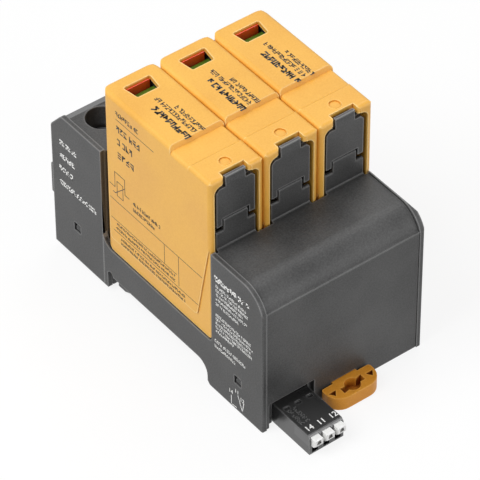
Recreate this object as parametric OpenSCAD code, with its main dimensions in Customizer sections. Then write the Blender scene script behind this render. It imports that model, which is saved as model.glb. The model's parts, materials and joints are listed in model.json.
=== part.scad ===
// Three-pole surge arrester for a top-hat rail: a moulded base with screw terminals at the rear and a
// signal plug at the front, and three plug-in modules with a status window, a latch and a varistor each.
// x runs across the poles, +y points to the terminals, +z points away from the rail.
// The origin is the middle of the rail seat, in the plane of the rail's outer face.

/* [Rail] */
// Width of the top-hat rail
rail_w = 35; // [34:0.5:36]
// Thickness of the rail's flange
rail_t = 1; // [0.8:0.1:1.4]
// How far the hooks reach under each flange
hook_reach = 2.5; // [1.5:0.1:3]
// Gap round the flange and beside sliding pieces
slide_gap = 0.2; // [0.1:0.05:0.3]
// Thickness of the fixed hook's stem
hook_t = 3.2; // [2.6:0.1:3.6]
// Height of the rail channel's roof over the seat
channel_roof = 1.5; // [1:0.1:2]

/* [Base] */
// Width of one pole
pole_pitch = 18; // [17.5:0.1:20]
// From the middle of the rail to the front face
front_len = 45.2; // [43:0.2:50]
// From the middle of the rail to the rear face
rear_len = 47.7; // [46:0.1:52]
// Depth of the front block below the seat
front_drop = 5.4; // [5.2:0.1:7]
// Depth of the terminal block below the seat
rear_drop = 3.7; // [3.2:0.1:5.4]
// Height of the front block's flat top
block_top = 43; // [40:0.2:45]
// Height of the round shoulder between the front face and the top
shoulder_h = 6.4; // [5:0.2:8]
// Radius of the round shoulder
cover_r = 8.8; // [8:0.2:12]
// Height of the side plates at the terminal block
rim_top = 44.6; // [43:0.2:48]
// How far the side plates stand proud of the covers
rim_proud = 0.6; // [0.2:0.1:1]
// Length of the slope behind the terminal block's top
slope_l = 6.4; // [5:0.2:7]
// Height of that slope
slope_h = 5; // [4:0.2:7]
// Length of the bevel at the side plates' upper rear corner
bevel_l = 4.8; // [4:0.2:5.6]
// Height of that bevel
bevel_h = 5.6; // [4:0.2:7]
// Thickness of the side plates
plate_t = 1.5; // [1.2:0.1:2]
// Thickness of the core's walls
wall_t = 1.8; // [1.4:0.1:2.2]
// Thickness of the base plate
base_t = 1.6; // [1.4:0.1:1.8]
// Height of the bay's floor over the seat
bay_floor = 11.4; // [11.2:0.1:14]
// Thickness of the bay's floor
floor_t = 1.6; // [1.2:0.1:1.8]
// Radius of the bay's lower rear corners, and of the modules' there
bay_r = 4; // [2:0.2:5]
// Size of the snap windows
snap_w = 2.9; // [2.4:0.1:3.4]
// From the front face to the front snap windows
snap_front_end = 10.6; // [9:0.2:13]
// From the rear face to the rear snap windows
snap_rear_end = 10.7; // [9:0.2:13]
// Radius of the side plates' upright edges
corner_r = 0.4; // [0.2:0.1:1.2]
// Clearance between fitted mouldings
fit = 0.2; // [0.1:0.05:0.3]

/* [Modules] */
// Length of a module
module_l = 47.2; // [43:0.1:47.6]
// From the middle of the rail to the middle of a module
module_mid = 0.6; // [0:0.1:1]
// Gap between neighbouring modules
module_gap = 0.35; // [0.2:0.05:0.6]
// Height of a module's top over the seat
module_top = 67.8; // [65:0.1:70]
// Thickness of a module's walls
module_wall = 1.6; // [1.2:0.1:1.8]
// Thickness of a module's roof
roof_t = 1.3; // [1:0.1:1.6]
// Radius along the module's upper edges
edge_r = 1.4; // [1:0.1:2.4]
// Width of the status window at its rear edge
window_w = 8.7; // [7.6:0.1:9.2]
// Width of the status window at its front edge
window_front_w = 7; // [6:0.1:7.4]
// Length of the status window
window_l = 5.3; // [4:0.1:5.6]
// From the module's rear face to the middle of its window
window_end = 6.9; // [5.8:0.1:7.6]
// Depth of the flag below the module's top
flag_depth = 3.5; // [3:0.1:4]
// Thickness of the status flag
flag_t = 1.6; // [1:0.1:2]
// Travel of the status flag
flag_travel = 6.5; // [5.8:0.1:7]
// From the module's front face to the grip step on its top
step_end = 16.7; // [15:0.1:18]
// Height of the grip step
step_h = 1.5; // [1.2:0.1:1.8]
// From the module's front face to the ridge that ends the grip groove
ridge_end = 8.7; // [7:0.1:11]
// Diameter of the moulded round mark on the front ledge
mark_d = 3.3; // [2.6:0.1:4]
// Width of the notch in the front lip
notch_w = 7.9; // [7.6:0.1:9]
// Depth of the notch in the front lip
notch_d = 2.4; // [2.2:0.1:2.8]
// Height of the varistor block
varistor_h = 34; // [28:0.5:38]
// Thickness of the varistor block
varistor_t = 7.2; // [5:0.2:7.8]
// Room between the varistor block and the carrier's end walls
varistor_gap = 1; // [0.6:0.1:3]
// Width of the contact blades
blade_w = 6; // [4:0.2:7]
// Thickness of the contact blades and their plates
blade_t = 0.8; // [0.6:0.05:0.9]

/* [Latch] */
// Height of the tab's shoulders over the cover
tab_h = 5.6; // [5:0.1:7]
// Width of the tab's middle
tab_mid_w = 7.8; // [6:0.1:8.4]
// Height of the tab's middle over the cover
tab_mid_h = 9.4; // [8.6:0.1:11]
// Thickness of the tab and of the latch plate
tab_t = 1.3; // [1:0.1:1.4]
// Gap between the tab's middle and the latch plate round it
latch_gap = 0.5; // [0.4:0.1:1]
// Gap between the tab's shoulders and the latch plate above them
shoulder_gap = 1.9; // [0.5:0.1:2.4]
// Radius of the latch's pivot pins
pivot_r = 0.7; // [0.5:0.05:0.8]

/* [Terminals] */
// Diameter of the screw access holes
access_d = 9.2; // [8.6:0.1:10]
// Diameter of the terminal screw's shank
screw_d = 5; // [4:0.1:5.5]
// Diameter of the terminal screw's head
head_d = 7.8; // [7:0.1:8]
// Height of the terminal screw's head
head_h = 2.8; // [2.6:0.1:3.4]
// Width of the cable entries
entry_w = 9.2; // [8:0.1:10]
// Height of the cable entries
entry_h = 8.2; // [7.4:0.1:9]
// Height of the cable entries' middle over the seat
entry_z = 19; // [18:0.1:20]
// Width of the terminal cage
cage_w = 10; // [9:0.1:11]
// Length of the terminal cage
cage_l = 9; // [8:0.1:9.6]
// Travel of the terminal cage
cage_travel = 7; // [6:0.1:7.8]
// Thickness of the terminal strip
strip_t = 1.2; // [1:0.1:1.4]

/* [Signal plug] */
// From the core's left side to the plug
plug_margin = 3.2; // [3.1:0.1:4]
// Width of the signal plug
plug_w = 11.4; // [11.2:0.1:12]
// Height of the signal plug
plug_h = 6.7; // [6.2:0.1:7.2]
// How far the plug stands out of the front face
plug_out = 14; // [12:0.2:16]
// How far the plug goes into its socket
plug_in = 8; // [7:0.2:8.8]
// Pitch of the plug's contacts
plug_pitch = 3.81; // [3.5:0.01:3.85]
// Width of the release buttons
button_w = 2.6; // [2.2:0.1:2.8]
// How far the release buttons stand out of the plug
button_out = 1.8; // [1.4:0.1:2.2]
// Depth of the frame round the plug
socket_d = 1.6; // [1:0.1:2]

/* [Rail foot] */
// From the middle of the base to the middle of the foot
foot_x = 0.6; // [0:0.1:1.8]
// Width of the foot's pull
foot_w = 16.4; // [15:0.2:17]
// How far the foot stands out of the front face
foot_out = 6.7; // [6:0.1:9]
// Width of the neck between the pull and the shank
neck_w = 8.2; // [7:0.2:10]
// Width of the foot's shank
shank_w = 13; // [11:0.2:13.4]
// Radius of the foot's front corners
foot_r = 4.6; // [3:0.1:5.6]
// Travel of the foot
foot_travel = 4.5; // [3:0.1:4.8]

/* [Hidden] */
$fn = 48;

dark = "#4b4c4e";
black = "#2e2f31";
yellow = "#f2b84b";
orange = "#d9912e";
white = "#e8e6e0";
green = "#4f8f36";
red = "#b23420";
copper = "#c98b5c";
steel = "#b8bbbf";
blue = "#35507e";
board_green = "#2f6b3a";

// Extra length of a cut past the face that it opens
over = 1;
poles = 3;

// Base
half_w = poles * pole_pitch / 2;
core_half = half_w - plate_t;
base_half = core_half - fit;
y_front = -front_len;
y_rear = rear_len;
z_front = -front_drop;
z_rear = -rear_drop;
block_edge = block_top - shoulder_h;
cover_top = block_top - rim_proud;
rear_top = rim_top - rim_proud;
seam = 0.25;
core_front = y_front + seam;
ledge_w = 0.6;
bay_rear_gap = 0.75;
module_front = module_mid - module_l / 2;
module_rear = module_mid + module_l / 2;
bay_front = module_front - 2 * fit;
bay_rear = module_rear + bay_rear_gap;
bay_front_r = 1.5;
floor_low = bay_floor - floor_t;
bevel_r = 2.2;
edge_flat = 0.3;
edge_drop = 1.8;
snap_front_h = 10.9;
snap_rear_h = 11.9;
snap_front_z = z_front + snap_front_h;
snap_rear_z = z_rear + snap_rear_h;
snap_arm_t = 1.4;
nose_set = 0.5;

// Rail channel
rail_half = rail_w / 2;
hook_y = rail_half + slide_gap;
hook_tip = rail_half - hook_reach;
hook_h = 1.2;
hook_slot = 2.4;
foot_room = 3.9;
channel_front = -rail_half - foot_room;
channel_rear = hook_y + hook_t + hook_slot;
channel_r = 4.2;
channel_chamfer = 1;
roof_top = channel_roof + base_t;
flange_low = -rail_t - slide_gap;
seat_margin = 0.6;
seat_half = hook_tip - seat_margin;
seat_w = 8;

// Modules
module_half = (pole_pitch - module_gap) / 2;
inner_half = module_half - module_wall;
module_z = bay_floor + fit;
window_y = module_rear - window_end;
window_r = 0.5;
window_back = window_y + window_l / 2;
window_front = window_y - window_l / 2;
step_y = module_front + step_end;
ridge_y = module_front + ridge_end;
ridge_run = 0.6;
ledge_drop = 1.1;
ledge_z = module_top - ledge_drop;
groove_z = module_top - step_h;
groove_rise = 0.1;
groove_end_z = groove_z + groove_rise;
lip_r = 1.3;
lip_t = 1.9;
lip_z = groove_z - lip_t;
cove_r = 2.2;
roof_z = module_top - roof_t;
roof_r = 1.2;
plan_front_r = 1.4;
plan_rear_r = 2.4;
mark_end = 5;
mark_depth = 0.3;
field_margin = 2.4;
field_depth = 0.3;
field_r = 1.6;
notch_flare = 0.6;
notch_lip = 0.2;
notch_r = 0.8;

// Latch and tab
tab_set = 0.5;
tab_front = module_front + tab_set;
tab_rear = tab_front + tab_t;
tab_side = 0.8;
tab_w = 2 * (inner_half - tab_side);
tab_chamfer = 0.35;
tab_fillet = 0.35;
arm_gap = 0.5;
arm_t = 1.2;
arm_w = 8;
arm_room = 0.8;
arm_front = tab_rear + arm_gap;
arm_rear = arm_front + arm_t;
pivot_h = 1;
pivot_y = arm_rear - arm_t / 3;
pivot_z = cover_top + pivot_h;
pivot_clear = 0.05;
ear_h = 3.6;
ear_gap = 0.4;
latch_side = 1;
latch_w = 2 * (inner_half - latch_side);
latch_low = cover_top + tab_h + shoulder_gap;
latch_notch = cover_top + tab_mid_h + latch_gap;
latch_notch_w = tab_mid_w + 2 * latch_gap;
latch_head = 1.6;
latch_top = lip_z - latch_head;
latch_chamfer = 1;
latch_bridge = 3.4;
knee_h = 1.1;
tongue_gap = 0.7;
tongue_w = notch_w - 2 * tongue_gap;
tongue_set = 0.6;
tongue_top = ledge_z - tongue_set;
tongue_lean = 0.3;
tongue_back = tab_rear - tongue_lean;
tongue_t = 0.7;
bead_h = 0.4;
bead_out = 0.25;

// Carrier, varistor and flag
frame_t = 1.2;
frame_floor_t = 1.8;
frame_half = inner_half - fit / 2;
frame_front = arm_rear + arm_room;
frame_rear = module_rear - module_wall - fit;
varistor_z = module_z + frame_floor_t;
varistor_front = frame_front + frame_t + varistor_gap;
varistor_rear = frame_rear - frame_t - varistor_gap;
varistor_r = 2;
electrode_margin = 3;
plate_x = varistor_t / 2 + blade_t;
line_blade_x = plate_x + blade_t / 2;
star_blade_x = plate_x + fit + blade_t / 2;
blade_inset = 4;
line_blade_y = varistor_rear - blade_inset;
star_blade_y = varistor_front + blade_inset;
blade_gap = 0.4;
blade_point = 1.4;
blade_taper = 1;
line_strip_h = 25;
star_strip_h = 10;
spring_t = 0.5;
spring_set = 4;
solder_h = 4;
spring_end = 7;
flag_z = module_top - flag_depth - flag_t;
flag_lap = 0.6;
flag_w = window_w + 2 * flag_lap;
flag_front = window_front - 2 * flag_lap;
flag_tail_w = 3;
flag_tail = 5;
insert_t = 1.4;
insert_wall = 0.5;
insert_gap = 0.15;
insert_set = 0.7;
insert_back = window_back - insert_gap - insert_wall;
insert_half = window_w / 2 - window_r;
deck_z = flag_z - insert_t - fit / 2;

// Terminals
screw_y = (bay_rear + y_rear) / 2;
entry_gap = 0.4;
entry_r = 1;
strip_z = entry_z + entry_h / 2 + entry_gap;
strip_gap = 0.4;
strip_end = 1;
cage_wall = 1.2;
cage_top_t = 1.8;
cage_gap = 0.6;
strip_w = cage_w - 2 * cage_wall - 2 * strip_gap;
cage_low = entry_z - entry_h / 2 - entry_gap;
nut_low = strip_z + strip_t + cage_gap;
tip_gap = 0.1;
thread_clear = 0.05;
head_gap = 0.3;
head_low = nut_low + cage_top_t + cage_travel + head_gap;
drive_w = 1.2;
drive_l = 5.6;
drive_depth = 1.8;
boss_t = 1.3;
boss_low = head_low - head_gap / 2;
rib_out = 1;
rib_margin = 0.9;
leg_gap = 0.5;
leg_y = max(bay_rear + wall_t, channel_rear + base_t) + leg_gap;
post_h = 1.3;
post_w = 4;
run_z = roof_top + post_h;
run_top = run_z + strip_t;
leaf_t = 0.6;
leaf_gap = 0.1;
leaf_h = 3;
blade_tip = run_top + blade_gap;

// Signal contact
plug_lift = 0.1;
plug_low = z_front + plug_lift;
plug_top = plug_low + plug_h;
plug_left = -core_half + plug_margin;
plug_right = plug_left + plug_w;
plug_x = (plug_left + plug_right) / 2;
plug_front = y_front - plug_out;
plug_rear = y_front + plug_in;
plug_gap = 0.25;
plug_bevel = 0.8;
socket_edge = 1;
socket_side = 1.5;
socket_head = 2;
socket_left = -core_half + socket_edge;
socket_right = plug_right + socket_side;
socket_top = plug_top + socket_head;
socket_rear = y_front + wall_t + socket_d;
header_wall = 1;
header_floor = 0.3;
header_back = 1.8;
header_front = socket_rear + fit;
header_rear = plug_rear + plug_gap + header_back;
pin_w = 1;
pin_drop = 3.6;
pin_z = plug_top - pin_drop;
pin_start = 1.5;
pin_gap = 0.15;
fork_t = 0.4;
fork_w = 1.6;
fork_web = 1;
fork_end = 0.6;
button_gap = 0.15;
button_depth = 5.2;
button_play = 1.3;
button_h = 2.9;
button_set = 0.7;
button_high = plug_top - button_set;
button_low = button_high - button_h;
button_point = 0.9;
button_pit = 0.7;
button_pit_low = 1.5;
button_pit_top = 0.8;
button_rim = 0.3;
wire_w = 1.9;
wire_floor = 0.5;
wire_z = plug_low + wire_floor + wire_w / 2;
cell_w = 1.8;
cell_h = 2.8;
pit_w = 1.6;
pit_l = 1.2;
pit_depth = 0.4;
pit_end = 1.4;
board_gap = 2.1;
board_t = 1.6;
board_w = 18.4;
board_left = -core_half + board_gap;
board_right = board_left + board_w;
board_end = 1.2;
board_rear = bay_front - board_end;
board_z = plug_top + plug_gap + header_wall + header_floor;
board_post = 2;
switch_l = 5.8;
switch_w = 11;
switch_h = 5;
switch_set = 1.2;
switch_rear = board_rear - switch_set;
plunger = 0.8;
plunger_w = 1.6;
trip_travel = 1;
trip_gap = 0.7;
trip_z = max(board_z + board_t, run_top) + trip_gap;
trip_full_h = 3;
trip_h = min(trip_full_h, floor_low - trip_z - 2 * fit);
trip_t = 2;
trip_side = 1.4;
trip_y = star_blade_y - blade_w / 2 - trip_side - trip_t;
trip_end = 4;
finger_w = 2;
finger_end = 6;
finger_x = board_right - finger_end;
finger_y = switch_rear + plunger + trip_travel + tip_gap;

// Foot
foot_top = flange_low;
foot_low = z_front;
foot_h = foot_top - foot_low;
foot_front = y_front - foot_out;
pull_gap = 0.3;
pull_rear = y_front - pull_gap;
pull_rear_r = 0.8;
pull_mid = (foot_front + pull_rear) / 2;
shank_front = y_front + wall_t + foot_travel + fit;
shank_slot = 1;
shank_slot_x = 3.4;
shank_slot_end = 3;
foot_lip_h = 1.5;
tongue_out = 0.8;
groove_h = 1.2;
groove_mid = foot_top - foot_h / 2;
guide_w = 2.4;
guide_t = 1.4;
key_d = 4.6;
key_reach = 3.8;
key_flare = 1.5;
key_neck = 0.6;
key_floor = 1;
grip_w = 2.4;
grip_h = 1.7;
grip_depth = 2;
grip_edge = 1.9;

function pole_x(i) = (i - (poles - 1) / 2) * pole_pitch;

// Points of an arc round c, from angle a0 to a1
function arc(c, r, a0, a1, n = 7) =
    [for (k = [0:n]) c + r * [cos(a0 + (a1 - a0) * k / n), sin(a0 + (a1 - a0) * k / n)]];

// Corner of an outline at p, rounded where r is over zero
function corner(p, r, sx, sy, a0) = r > 0 ? arc(p + [sx * r, sy * r], r, a0, a0 + 90) : [p];

// Rectangle from a to b with its own radius at the low left, low right, top right and top left
function rounded(a, b, r) =
    concat(corner(a, r[0], 1, 1, 180), corner([b.x, a.y], r[1], -1, 1, 270),
           corner(b, r[2], -1, -1, 0), corner([a.x, b.y], r[3], 1, -1, 90));

// Arc that rounds the corner p between its neighbours a and b
function bend(a, p, b, r) =
    let (u = (a - p) / norm(a - p))
    let (v = (b - p) / norm(b - p))
    let (half = acos(u * v) / 2)
    let (c = p + r / sin(half) * (u + v) / norm(u + v))
    let (s = p + r / tan(half) * u - c)
    let (e = p + r / tan(half) * v - c)
    let (a0 = atan2(s.y, s.x))
    arc(c, r, a0, a0 + atan2(s.x * e.y - s.y * e.x, s * e), 5);

// Outline p with a radius of its own, or zero, at every corner
function eased(p, r) =
    let (n = len(p))
    [for (k = [0:n - 1]) each r[k] > 0 ? bend(p[(k + n - 1) % n], p[k], p[(k + 1) % n], r[k]) : [p[k]]];

// Side view of the front block: front face, a ledge, round shoulder and flat top, set in by a wall
function front_block(top, face, ledge, inset, y_end, z_low) =
    let (zc = top - cover_r)
    let (yc = face + ledge + sqrt(pow(cover_r, 2) - pow(block_edge - zc, 2)))
    let (meet = acos((face + ledge + inset - yc) / (cover_r - inset)))
    concat([[y_end, z_low], [y_end, top - inset]], arc([yc, zc], cover_r - inset, 90, meet, 10),
           ledge > 0 ? [[face + inset, block_edge]] : [], [[face + inset, z_low]]);

// Side view of the terminal block: flat top and a slope l long and h high at the rear, set in by a wall
function rear_block(top, l, h, inset, z_low) =
    let (n = [h, l] / norm([h, l]))
    [[bay_rear + inset, z_low], [bay_rear + inset, top - inset],
     [y_rear - l - inset * (1 - n.y) / n.x, top - inset],
     [y_rear - inset, top - (n.x * (l - inset) + inset) / n.y],
     [y_rear - inset, z_low]];

// Side view of a blade: tapered tip, and a strip up to z
function blade_outline(y, z) =
    [[y - blade_w / 2 + blade_taper, blade_tip], [y - blade_w / 2, blade_tip + blade_point],
     [y - blade_w / 2, z], [y + blade_w / 2, z], [y + blade_w / 2, blade_tip + blade_point],
     [y + blade_w / 2 - blade_taper, blade_tip]];

// Extrudes a side view, drawn as (y, z), from x0 to x1
module along_x(x0, x1) {
    translate([x0, 0, 0]) rotate([90, 0, 90]) linear_extrude(x1 - x0) children();
}

// Extrudes a front view, drawn as (x, z), from y0 to y1
module along_y(y0, y1) {
    translate([0, y1, 0]) rotate([90, 0, 0]) linear_extrude(y1 - y0) children();
}

// Extrudes a plan, drawn as (x, y), from z0 to z1
module along_z(z0, z1) {
    translate([0, 0, z0]) linear_extrude(z1 - z0) children();
}

// Box from corner a to corner b
module block(a, b) {
    translate(a) cube(b - a);
}

// Rectangle from a to b
module rect(a, b) {
    translate(a) square(b - a);
}

// Repeats a shape at every pole
module each_pole() {
    for (i = [0:poles - 1]) translate([pole_x(i), 0, 0]) children();
}

// Repeats a shape at the plug's three contacts
module each_contact() {
    for (k = [-1:1]) translate([plug_x + k * plug_pitch, 0, 0]) children();
}

// Repeats a shape and its mirror image across x
module both_sides() {
    for (side = [0, 1]) mirror([side, 0, 0]) children();
}

// Upright plate of the tab with its upper edges broken
module upright(w, z_low, z_top) {
    along_x(-w / 2, w / 2) polygon([[tab_front, z_low], [tab_front, z_top - tab_chamfer],
        [tab_front + tab_chamfer, z_top], [tab_rear - tab_chamfer, z_top],
        [tab_rear, z_top - tab_chamfer], [tab_rear, z_low]]);
}

// Slot for one contact blade, from z0 to z1
module blade_slot(x, y, gap, z0, z1) {
    block([x - blade_t / 2 - gap, y - blade_w / 2 - gap, z0],
          [x + blade_t / 2 + gap, y + blade_w / 2 + gap, z1]);
}

// Slots for both of a module's blades
module blade_slots(gap, z0, z1) {
    blade_slot(-line_blade_x, line_blade_y, gap, z0, z1);
    blade_slot(star_blade_x, star_blade_y, gap, z0, z1);
}

// Side view of the base core's walls
module core_section() {
    difference() {
        union() {
            polygon(front_block(cover_top, core_front, ledge_w, 0, bay_front, z_front));
            polygon(rear_block(rear_top, slope_l, slope_h, 0, z_rear));
            rect([bay_front - wall_t, floor_low], [bay_rear + wall_t, bay_floor]);
        }
        polygon(front_block(cover_top, y_front, 0, wall_t, bay_front - wall_t, floor_low));
        polygon(rear_block(rear_top, slope_l, slope_h, wall_t, floor_low));
        rect([y_front + wall_t, z_front - over], [y_rear - wall_t, floor_low]);
    }
}

// Pilaster in the bay with the tab that the latch works against
module pole_tab() {
    block([-tab_w / 2, bay_front - wall_t, floor_low], [tab_w / 2, tab_rear, cover_top]);
    upright(tab_w, bay_floor, cover_top + tab_h);
    upright(tab_mid_w, bay_floor, cover_top + tab_mid_h);
    along_x(-tab_w / 2, tab_w / 2) polygon([[tab_front - tab_fillet, cover_top],
        [tab_front, cover_top + tab_fillet], [tab_rear, cover_top]]);
}

module base_housing() {
    color(dark) difference() {
        union() {
            along_x(-core_half, core_half) core_section();
            for (i = [0:poles - 2]) {
                x = pole_x(i) + pole_pitch / 2;
                along_x(x - wall_t / 2, x + wall_t / 2)
                    polygon(rear_block(rear_top, slope_l, slope_h, wall_t, floor_low));
            }
            each_pole() {
                pole_tab();
                intersection() {
                    translate([0, screw_y, boss_low])
                        cylinder(d = access_d + 2 * boss_t, h = rear_top - boss_low);
                    along_x(-pole_pitch / 2, pole_pitch / 2)
                        polygon(rear_block(rear_top, slope_l, slope_h, 0, z_rear));
                }
            }
            block([-core_half, y_rear - wall_t, entry_z - entry_h / 2 - rib_margin],
                  [core_half, y_rear + rib_out, entry_z + entry_h / 2 + rib_margin]);
            block([socket_left, core_front, z_front],
                  [socket_right + wall_t, socket_rear, socket_top + wall_t]);
        }
        each_pole() {
            translate([0, screw_y, boss_low - over])
                cylinder(d = access_d, h = rear_top - boss_low + 2 * over);
            along_y(y_rear - wall_t - over, y_rear + rib_out + over)
                polygon(rounded([-entry_w / 2, entry_z - entry_h / 2], [entry_w / 2, entry_z + entry_h / 2],
                                [entry_r, entry_r, entry_r, entry_r]));
            blade_slots(2 * fit, floor_low - over, bay_floor + over);
        }
        block([socket_left, y_front - over, z_front - over], [socket_right, y_front + socket_d, socket_top]);
        block([plug_left - plug_gap, y_front, z_front - over],
              [plug_right + plug_gap, socket_rear + over, plug_top + plug_gap]);
        block([foot_x - neck_w / 2 - slide_gap, y_front - over, z_front - over],
              [foot_x + neck_w / 2 + slide_gap, y_front + wall_t + over, foot_top + slide_gap]);
    }
}

module snap_window(y, z) {
    rect([y - snap_w / 2, z - snap_w / 2], [y + snap_w / 2, z + snap_w / 2]);
}

// Side view of an end plate
module plate_outline() {
    difference() {
        union() {
            polygon(front_block(block_top, y_front, 0, 0, bay_front, z_front));
            polygon(eased(rear_block(rim_top, bevel_l, bevel_h, 0, z_rear), [0, 0, bevel_r, bevel_r, 0]));
            rect([bay_front - over, channel_roof], [bay_rear + over, bay_floor + bay_r]);
            rect([bay_front - over, z_front], [channel_front + channel_r, bay_floor]);
            rect([channel_rear, z_rear], [bay_rear + over, bay_floor]);
            rect([y_rear - over, entry_z - entry_h / 2 - rib_margin],
                 [y_rear + rib_out, entry_z + entry_h / 2 + rib_margin]);
        }
        polygon(rounded([bay_front, bay_floor], [bay_rear, rim_top + over], [bay_front_r, bay_r, 0, 0]));
        polygon(rounded([channel_front, z_front - over], [channel_rear, channel_roof], [0, 0, 0, channel_r]));
        polygon([[channel_front - channel_chamfer - over, z_front - over],
                 [channel_front + over, z_front - over],
                 [channel_front + over, z_front + channel_chamfer + over]]);
        translate([channel_rear - hook_slot / 2, channel_roof]) circle(d = hook_slot);
        snap_window(y_front + snap_front_end, snap_front_z);
        snap_window(y_rear - snap_rear_end, snap_rear_z);
    }
}

// Left end plate, its outer upright edges rounded
module end_plate() {
    color(dark) intersection() {
        along_x(-half_w, -core_half) plate_outline();
        along_z(z_front - over, rim_top + over)
            polygon(rounded([-half_w, y_front], [-core_half, y_rear + rib_out], [corner_r, 0, 0, corner_r]));
    }
}

module left_side_plate() {
    end_plate();
}

// Right end plate, its upper outer edge bevelled along the front block
module right_side_plate() {
    color(dark) difference() {
        mirror([1, 0, 0]) end_plate();
        along_y(y_front - over, bay_front + over)
            polygon([[core_half + edge_flat, block_top], [half_w, block_top - edge_drop],
                     [half_w + over, block_top - edge_drop], [half_w + over, block_top + over],
                     [core_half + edge_flat, block_top + over]]);
    }
}

// Side view of the base plate, without its ribs and arms
module base_section() {
    y0 = y_front + wall_t + fit;
    y1 = y_rear - wall_t - fit;
    rect([y0, z_front], [channel_front, z_front + base_t]);
    rect([channel_front - base_t, z_front], [channel_front, roof_top]);
    rect([channel_front - base_t, channel_roof], [channel_rear + base_t, roof_top]);
    rect([channel_rear, z_rear], [channel_rear + base_t, roof_top]);
    rect([channel_rear, z_rear], [y1, z_rear + base_t]);
    polygon([[hook_y, channel_roof + base_t / 2], [hook_y, flange_low], [hook_tip, flange_low],
             [hook_y, flange_low - hook_h], [hook_y + hook_t, flange_low - hook_h],
             [hook_y + hook_t, channel_roof + base_t / 2]]);
}

// Snap arm at the left edge, with its nose in the end plate's window
module snap_arm(y, z, z_low) {
    w = snap_w - 2 * fit;
    tip = -half_w + nose_set;
    block([-base_half, y - w / 2, z_low], [-base_half + snap_arm_t, y + w / 2, z + w / 2]);
    translate([0, y, 0]) along_y(-w / 2, w / 2) polygon([[-base_half + snap_arm_t / 2, z - w / 2],
        [tip, z - w / 2], [tip, z - w / 6], [-base_half, z + w / 2], [-base_half + snap_arm_t / 2, z + w / 2]]);
}

// Post on the base plate that carries one blade socket
module contact_post(x, y) {
    block([x - post_w / 2, y - blade_w / 2, channel_roof], [x + post_w / 2, y + blade_w / 2, run_z]);
}

// Room for the foot: its shank, and the grooves for the shank's side tongues
module foot_tunnel() {
    half = shank_w / 2 + slide_gap;
    block([foot_x - half, y_front, z_front - over],
          [foot_x + half, channel_front + over, foot_top + slide_gap]);
    block([foot_x - half - tongue_out, y_front, groove_mid - groove_h / 2 - slide_gap],
          [foot_x + half + tongue_out, channel_front - base_t, groove_mid + groove_h / 2 + slide_gap]);
}

module base_plate() {
    guide_half = shank_w / 2 + slide_gap + guide_w;
    header_half = plug_w / 2 + plug_gap + header_wall + fit;
    color(dark) difference() {
        union() {
            along_x(-base_half, base_half) base_section();
            each_pole() {
                block([-seat_w / 2, -seat_half, 0], [seat_w / 2, seat_half, channel_roof + base_t / 2]);
                contact_post(-line_blade_x, line_blade_y);
                contact_post(star_blade_x, star_blade_y);
                block([-post_w / 2, trip_y, channel_roof], [post_w / 2, trip_y + trip_t, trip_z]);
            }
            both_sides() {
                snap_arm(y_front + snap_front_end, snap_front_z, z_front);
                snap_arm(y_rear - snap_rear_end, snap_rear_z, z_rear);
            }
            block([foot_x - guide_half, y_front + wall_t + fit, z_front],
                  [foot_x + guide_half, channel_front, foot_top + slide_gap + guide_t]);
            for (x = [board_left + board_post, board_right - 2 * board_post])
                block([x, board_rear - 2 * board_post, z_front],
                      [x + board_post, board_rear - board_post / 2, board_z]);
        }
        foot_tunnel();
        block([plug_x - header_half, y_front, z_front - over],
              [plug_x + header_half, header_rear + pin_w + fit, board_z + fit]);
        block([-half_w, y_front, z_front - over],
              [socket_right + wall_t + fit, socket_rear + fit, socket_top]);
    }
}

// Outline of the foot's keyhole: a round hole between two flared ends
module keyhole() {
    circle(d = key_d);
    polygon([[-key_reach, -key_flare], [-key_reach, key_neck], [0, key_neck], [key_reach, key_flare],
             [key_reach, -key_neck], [0, -key_neck]]);
}

module rail_foot() {
    tongue_half = shank_w / 2 + tongue_out;
    color(orange) translate([foot_x, 0, 0]) difference() {
        union() {
            along_z(foot_low, foot_top) polygon(rounded([-foot_w / 2, foot_front], [foot_w / 2, pull_rear],
                                                        [foot_r, foot_r, pull_rear_r, pull_rear_r]));
            block([-neck_w / 2, pull_rear - over, foot_low], [neck_w / 2, shank_front + over, foot_top]);
            block([-shank_w / 2, shank_front, foot_low], [shank_w / 2, -hook_y, foot_top]);
            block([-tongue_half, shank_front, groove_mid - groove_h / 2],
                  [tongue_half, channel_front - base_t - fit, groove_mid + groove_h / 2]);
            along_x(-shank_w / 2, shank_w / 2)
                polygon([[-hook_y - over, foot_low], [-hook_y, foot_low], [-hook_tip, foot_top - foot_lip_h],
                         [-hook_tip, foot_top], [-hook_y - over, foot_top]]);
        }
        translate([0, pull_mid, foot_low + key_floor]) linear_extrude(foot_h) keyhole();
        for (side = [-1, 1]) {
            translate([side * (foot_w / 2 - grip_edge), pull_mid, foot_top - grip_depth])
                linear_extrude(grip_depth + over)
                    polygon([[-grip_w / 2, grip_h / 2], [grip_w / 2, grip_h / 2], [0, -grip_h / 2]]);
            block([side * shank_slot_x - shank_slot / 2, shank_front + shank_slot_end, foot_low - over],
                  [side * shank_slot_x + shank_slot / 2, channel_front - shank_slot_end, foot_top + over]);
        }
    }
}

// Rising cage of a screw terminal
module terminal_cage(i) {
    color(steel) translate([pole_x(i), screw_y, 0]) difference() {
        block([-cage_w / 2, -cage_l / 2, cage_low - cage_top_t],
              [cage_w / 2, cage_l / 2, nut_low + cage_top_t]);
        block([-cage_w / 2 + cage_wall, -cage_l / 2 - over, cage_low],
              [cage_w / 2 - cage_wall, cage_l / 2 + over, nut_low]);
        translate([0, 0, nut_low - over])
            cylinder(d = screw_d + 2 * thread_clear, h = cage_top_t + 2 * over);
    }
}

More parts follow.
